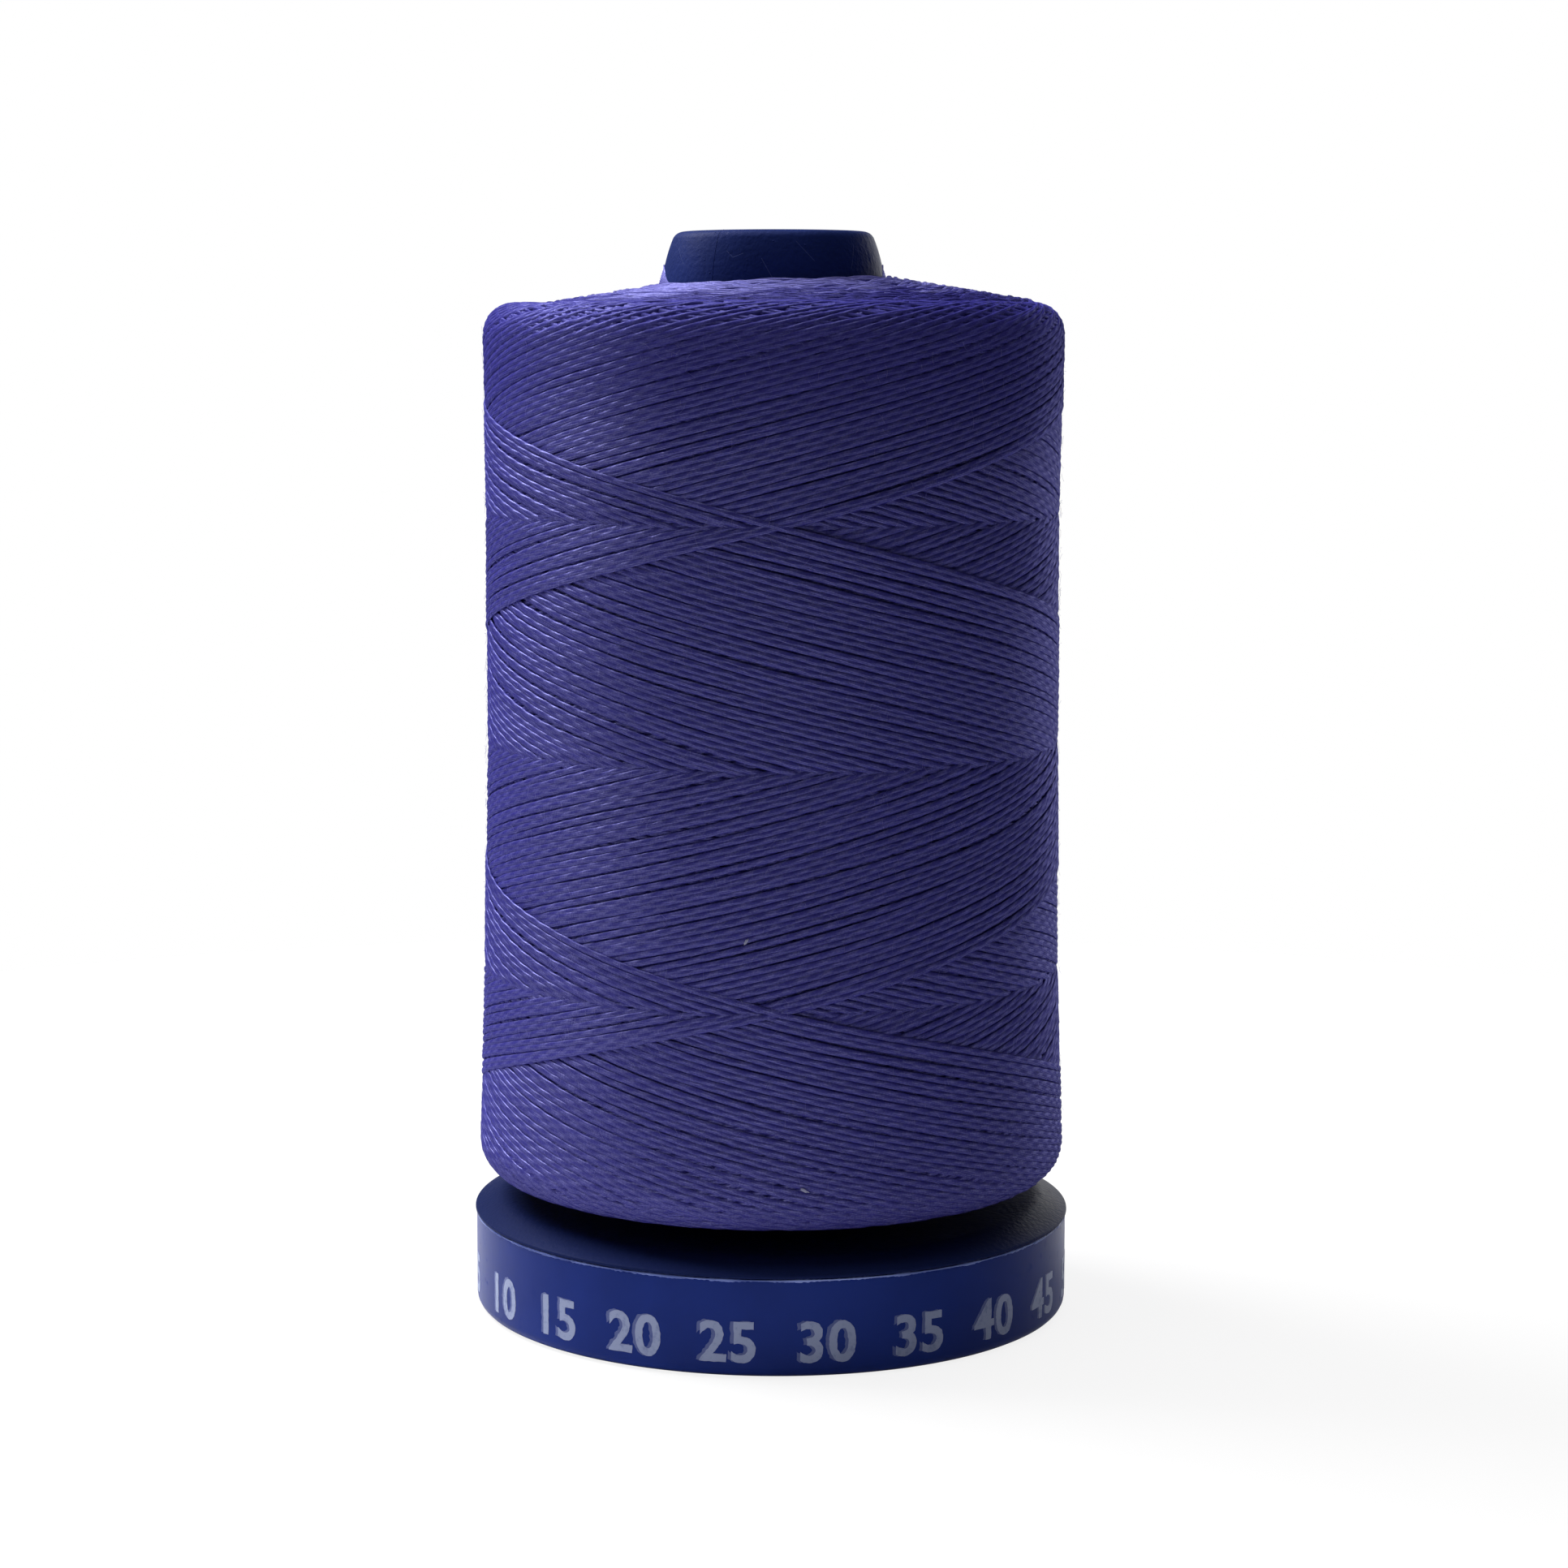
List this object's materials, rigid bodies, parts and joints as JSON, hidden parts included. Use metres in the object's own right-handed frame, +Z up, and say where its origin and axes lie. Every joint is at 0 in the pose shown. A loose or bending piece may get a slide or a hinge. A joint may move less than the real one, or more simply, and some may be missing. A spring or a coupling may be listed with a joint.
{
  "type": "spool of thread",
  "caption": "Spool of cross-wound sewing thread on a moulded barrel with a rounded nose, a flange and a clip-in base that locks the thread's tail.",
  "frame": {"origin": "on the table, at the middle of the base's foot rim", "axes": "+Z up the spool's axis, towards the nose; +X and +Y are any two radial directions, and the picture looks along +Y"},
  "size_m": [0.047, 0.047, 0.0841],
  "materials": {
    "spool_plastic": "satin",
    "base_plastic": "satin",
    "thread": "satin",
    "label_paper": "matte"
  },
  "bodies": {
    "base": {"tail_lock_base": "base_plastic", "base_label": "label_paper"},
    "spool": {"spool_barrel": "spool_plastic", "thread_package": "thread", "thread_outer_turns": "thread"}
  },
  "joints": [
    {"name": "tail_lock_open", "type": "slide", "parent": "base", "child": "spool", "axis": [0, 0, 1], "range_m": [0, 0.003]}
  ]
}
